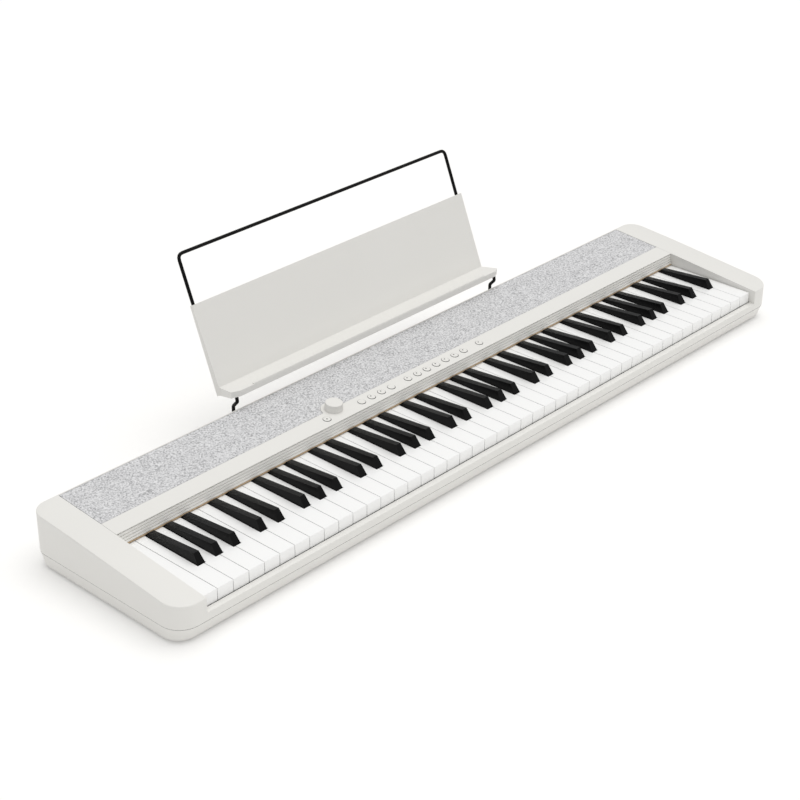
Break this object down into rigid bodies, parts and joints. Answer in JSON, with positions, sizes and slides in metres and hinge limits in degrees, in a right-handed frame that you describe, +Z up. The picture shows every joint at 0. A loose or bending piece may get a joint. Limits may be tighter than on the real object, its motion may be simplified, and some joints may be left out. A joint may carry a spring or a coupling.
{
  "type": "digital piano",
  "caption": "Slim portable keyboard instrument with hinged keys, panel buttons, a volume dial, cloth-covered speakers and a lift-off music rest.",
  "frame": {"origin": "on the floor under the middle of the whole bounding box, music rest included", "axes": "+X along the keyboard towards the treble end, +Y from the player towards the back, +Z up"},
  "size_m": [1.146, 0.3583, 0.2554],
  "materials": {
    "case_plastic": "satin warm white",
    "white_key": "smooth white",
    "black_key": "satin black",
    "cloth": "light grey melange weave",
    "felt": "tan felt",
    "rubber": "black rubber",
    "black_wire": "black lacquer",
    "steel": "plain steel",
    "board_laminate": "green laminate",
    "black_plastic": "black moulding"
  },
  "bodies": {
    "case": {"upper_case": "case_plastic", "lower_case": "case_plastic", "foot_left_front": "rubber", "foot_right_front": "rubber", "foot_left_rear": "rubber", "foot_right_rear": "rubber", "key_chassis": "black_plastic", "key_contact_board": "board_laminate", "control_panel": "case_plastic", "rib_trim": "case_plastic", "key_felt": "felt", "volume_pot": "steel", "panel_board": "board_laminate", "speaker_cloth": "cloth", "speaker_grille": "black_plastic", "speaker_left": "black_plastic", "speaker_right": "black_plastic", "main_board": "board_laminate", "jack_block": "black_plastic", "rest_socket_left": "case_plastic", "rest_socket_right": "case_plastic"},
    "octave_1_egb_keys": {"octave_1_egb_keys": "white_key"},
    "octave_1_fa_keys": {"octave_1_fa_keys": "white_key"},
    "octave_1_black_keys": {"octave_1_black_keys": "black_key"},
    "octave_2_cegb_keys": {"octave_2_cegb_keys": "white_key"},
    "octave_2_dfa_keys": {"octave_2_dfa_keys": "white_key"},
    "octave_2_black_keys": {"octave_2_black_keys": "black_key"},
    "octave_3_cegb_keys": {"octave_3_cegb_keys": "white_key"},
    "octave_3_dfa_keys": {"octave_3_dfa_keys": "white_key"},
    "octave_3_black_keys": {"octave_3_black_keys": "black_key"},
    "octave_4_cegb_keys": {"octave_4_cegb_keys": "white_key"},
    "octave_4_dfa_keys": {"octave_4_dfa_keys": "white_key"},
    "octave_4_black_keys": {"octave_4_black_keys": "black_key"},
    "octave_5_cegb_keys": {"octave_5_cegb_keys": "white_key"},
    "octave_5_dfa_keys": {"octave_5_dfa_keys": "white_key"},
    "octave_5_black_keys": {"octave_5_black_keys": "black_key"},
    "octave_6_cegb_keys": {"octave_6_cegb_keys": "white_key"},
    "octave_6_dfa_keys": {"octave_6_dfa_keys": "white_key"},
    "octave_6_black_keys": {"octave_6_black_keys": "black_key"},
    "octave_7_ceg_keys": {"octave_7_ceg_keys": "white_key"},
    "octave_7_df_keys": {"octave_7_df_keys": "white_key"},
    "octave_7_black_keys": {"octave_7_black_keys": "black_key"},
    "power_button": {"power_button": "case_plastic"},
    "button_01": {"button_01": "case_plastic"},
    "button_02": {"button_02": "case_plastic"},
    "button_03": {"button_03": "case_plastic"},
    "button_04": {"button_04": "case_plastic"},
    "button_05": {"button_05": "case_plastic"},
    "button_06": {"button_06": "case_plastic"},
    "button_07": {"button_07": "case_plastic"},
    "button_08": {"button_08": "case_plastic"},
    "button_09": {"button_09": "case_plastic"},
    "button_10": {"button_10": "case_plastic"},
    "button_11": {"button_11": "case_plastic"},
    "button_12": {"button_12": "case_plastic"},
    "volume_dial": {"volume_dial": "case_plastic"},
    "battery_door": {"battery_door": "case_plastic"},
    "music_rest": {"music_rest_plate": "case_plastic", "music_rest_wire": "black_wire"}
  },
  "joints": [
    {"name": "octave_1_egb_keys_press", "type": "hinge", "parent": "case", "child": "octave_1_egb_keys", "pos_m": [0, 0.0075, 0.0395], "axis": [1, 0, 0], "range_deg": [0, 3.25], "stiffness_Nm_per_rad": 6, "springref_deg": -3.44},
    {"name": "octave_1_fa_keys_press", "type": "hinge", "parent": "case", "child": "octave_1_fa_keys", "pos_m": [0, 0.0075, 0.0395], "axis": [1, 0, 0], "range_deg": [0, 3.25], "stiffness_Nm_per_rad": 4, "springref_deg": -3.44},
    {"name": "octave_1_black_keys_press", "type": "hinge", "parent": "case", "child": "octave_1_black_keys", "pos_m": [0, 0.0075, 0.0395], "axis": [1, 0, 0], "range_deg": [0, 4], "stiffness_Nm_per_rad": 6, "springref_deg": -3.44},
    {"name": "octave_2_cegb_keys_press", "type": "hinge", "parent": "case", "child": "octave_2_cegb_keys", "pos_m": [0, 0.0075, 0.0395], "axis": [1, 0, 0], "range_deg": [0, 3.25], "stiffness_Nm_per_rad": 8, "springref_deg": -3.44},
    {"name": "octave_2_dfa_keys_press", "type": "hinge", "parent": "case", "child": "octave_2_dfa_keys", "pos_m": [0, 0.0075, 0.0395], "axis": [1, 0, 0], "range_deg": [0, 3.25], "stiffness_Nm_per_rad": 6, "springref_deg": -3.44},
    {"name": "octave_2_black_keys_press", "type": "hinge", "parent": "case", "child": "octave_2_black_keys", "pos_m": [0, 0.0075, 0.0395], "axis": [1, 0, 0], "range_deg": [0, 4], "stiffness_Nm_per_rad": 10, "springref_deg": -3.44},
    {"name": "octave_3_cegb_keys_press", "type": "hinge", "parent": "case", "child": "octave_3_cegb_keys", "pos_m": [0, 0.0075, 0.0395], "axis": [1, 0, 0], "range_deg": [0, 3.25], "stiffness_Nm_per_rad": 8, "springref_deg": -3.44},
    {"name": "octave_3_dfa_keys_press", "type": "hinge", "parent": "case", "child": "octave_3_dfa_keys", "pos_m": [0, 0.0075, 0.0395], "axis": [1, 0, 0], "range_deg": [0, 3.25], "stiffness_Nm_per_rad": 6, "springref_deg": -3.44},
    {"name": "octave_3_black_keys_press", "type": "hinge", "parent": "case", "child": "octave_3_black_keys", "pos_m": [0, 0.0075, 0.0395], "axis": [1, 0, 0], "range_deg": [0, 4], "stiffness_Nm_per_rad": 10, "springref_deg": -3.44},
    {"name": "octave_4_cegb_keys_press", "type": "hinge", "parent": "case", "child": "octave_4_cegb_keys", "pos_m": [0, 0.0075, 0.0395], "axis": [1, 0, 0], "range_deg": [0, 3.25], "stiffness_Nm_per_rad": 8, "springref_deg": -3.44},
    {"name": "octave_4_dfa_keys_press", "type": "hinge", "parent": "case", "child": "octave_4_dfa_keys", "pos_m": [0, 0.0075, 0.0395], "axis": [1, 0, 0], "range_deg": [0, 3.25], "stiffness_Nm_per_rad": 6, "springref_deg": -3.44},
    {"name": "octave_4_black_keys_press", "type": "hinge", "parent": "case", "child": "octave_4_black_keys", "pos_m": [0, 0.0075, 0.0395], "axis": [1, 0, 0], "range_deg": [0, 4], "stiffness_Nm_per_rad": 10, "springref_deg": -3.44},
    {"name": "octave_5_cegb_keys_press", "type": "hinge", "parent": "case", "child": "octave_5_cegb_keys", "pos_m": [0, 0.0075, 0.0395], "axis": [1, 0, 0], "range_deg": [0, 3.25], "stiffness_Nm_per_rad": 8, "springref_deg": -3.44},
    {"name": "octave_5_dfa_keys_press", "type": "hinge", "parent": "case", "child": "octave_5_dfa_keys", "pos_m": [0, 0.0075, 0.0395], "axis": [1, 0, 0], "range_deg": [0, 3.25], "stiffness_Nm_per_rad": 6, "springref_deg": -3.44},
    {"name": "octave_5_black_keys_press", "type": "hinge", "parent": "case", "child": "octave_5_black_keys", "pos_m": [0, 0.0075, 0.0395], "axis": [1, 0, 0], "range_deg": [0, 4], "stiffness_Nm_per_rad": 10, "springref_deg": -3.44},
    {"name": "octave_6_cegb_keys_press", "type": "hinge", "parent": "case", "child": "octave_6_cegb_keys", "pos_m": [0, 0.0075, 0.0395], "axis": [1, 0, 0], "range_deg": [0, 3.25], "stiffness_Nm_per_rad": 8, "springref_deg": -3.44},
    {"name": "octave_6_dfa_keys_press", "type": "hinge", "parent": "case", "child": "octave_6_dfa_keys", "pos_m": [0, 0.0075, 0.0395], "axis": [1, 0, 0], "range_deg": [0, 3.25], "stiffness_Nm_per_rad": 6, "springref_deg": -3.44},
    {"name": "octave_6_black_keys_press", "type": "hinge", "parent": "case", "child": "octave_6_black_keys", "pos_m": [0, 0.0075, 0.0395], "axis": [1, 0, 0], "range_deg": [0, 4], "stiffness_Nm_per_rad": 10, "springref_deg": -3.44},
    {"name": "octave_7_ceg_keys_press", "type": "hinge", "parent": "case", "child": "octave_7_ceg_keys", "pos_m": [0, 0.0075, 0.0395], "axis": [1, 0, 0], "range_deg": [0, 3.25], "stiffness_Nm_per_rad": 6, "springref_deg": -3.44},
    {"name": "octave_7_df_keys_press", "type": "hinge", "parent": "case", "child": "octave_7_df_keys", "pos_m": [0, 0.0075, 0.0395], "axis": [1, 0, 0], "range_deg": [0, 3.25], "stiffness_Nm_per_rad": 4, "springref_deg": -3.44},
    {"name": "octave_7_black_keys_press", "type": "hinge", "parent": "case", "child": "octave_7_black_keys", "pos_m": [0, 0.0075, 0.0395], "axis": [1, 0, 0], "range_deg": [0, 4], "stiffness_Nm_per_rad": 6, "springref_deg": -3.44},
    {"name": "power_button_press", "type": "slide", "parent": "case", "child": "power_button", "axis": [0, 0.0958, -0.9954], "range_m": [0, 0.001], "stiffness_N_per_m": 400, "springref_m": -0.001},
    {"name": "button_01_press", "type": "slide", "parent": "case", "child": "button_01", "axis": [0, 0.0958, -0.9954], "range_m": [0, 0.001], "stiffness_N_per_m": 400, "springref_m": -0.001},
    {"name": "button_02_press", "type": "slide", "parent": "case", "child": "button_02", "axis": [0, 0.0958, -0.9954], "range_m": [0, 0.001], "stiffness_N_per_m": 400, "springref_m": -0.001},
    {"name": "button_03_press", "type": "slide", "parent": "case", "child": "button_03", "axis": [0, 0.0958, -0.9954], "range_m": [0, 0.001], "stiffness_N_per_m": 400, "springref_m": -0.001},
    {"name": "button_04_press", "type": "slide", "parent": "case", "child": "button_04", "axis": [0, 0.0958, -0.9954], "range_m": [0, 0.001], "stiffness_N_per_m": 400, "springref_m": -0.001},
    {"name": "button_05_press", "type": "slide", "parent": "case", "child": "button_05", "axis": [0, 0.0958, -0.9954], "range_m": [0, 0.001], "stiffness_N_per_m": 400, "springref_m": -0.001},
    {"name": "button_06_press", "type": "slide", "parent": "case", "child": "button_06", "axis": [0, 0.0958, -0.9954], "range_m": [0, 0.001], "stiffness_N_per_m": 400, "springref_m": -0.001},
    {"name": "button_07_press", "type": "slide", "parent": "case", "child": "button_07", "axis": [0, 0.0958, -0.9954], "range_m": [0, 0.001], "stiffness_N_per_m": 400, "springref_m": -0.001},
    {"name": "button_08_press", "type": "slide", "parent": "case", "child": "button_08", "axis": [0, 0.0958, -0.9954], "range_m": [0, 0.001], "stiffness_N_per_m": 400, "springref_m": -0.001},
    {"name": "button_09_press", "type": "slide", "parent": "case", "child": "button_09", "axis": [0, 0.0958, -0.9954], "range_m": [0, 0.001], "stiffness_N_per_m": 400, "springref_m": -0.001},
    {"name": "button_10_press", "type": "slide", "parent": "case", "child": "button_10", "axis": [0, 0.0958, -0.9954], "range_m": [0, 0.001], "stiffness_N_per_m": 400, "springref_m": -0.001},
    {"name": "button_11_press", "type": "slide", "parent": "case", "child": "button_11", "axis": [0, 0.0958, -0.9954], "range_m": [0, 0.001], "stiffness_N_per_m": 400, "springref_m": -0.001},
    {"name": "button_12_press", "type": "slide", "parent": "case", "child": "button_12", "axis": [0, 0.0958, -0.9954], "range_m": [0, 0.001], "stiffness_N_per_m": 400, "springref_m": -0.001},
    {"name": "volume_dial_turn", "type": "hinge", "parent": "case", "child": "volume_dial", "pos_m": [-0.1589, -0.00345, 0.06724], "axis": [0, -0.0958, 0.9954], "range_deg": [-150, 150]},
    {"name": "battery_door_slide", "type": "slide", "parent": "case", "child": "battery_door", "axis": [1, 0, 0], "range_m": [0, 0.01]},
    {"name": "music_rest_lift", "type": "slide", "parent": "case", "child": "music_rest", "axis": [0, 0, 1], "range_m": [0, 0.06]}
  ]
}
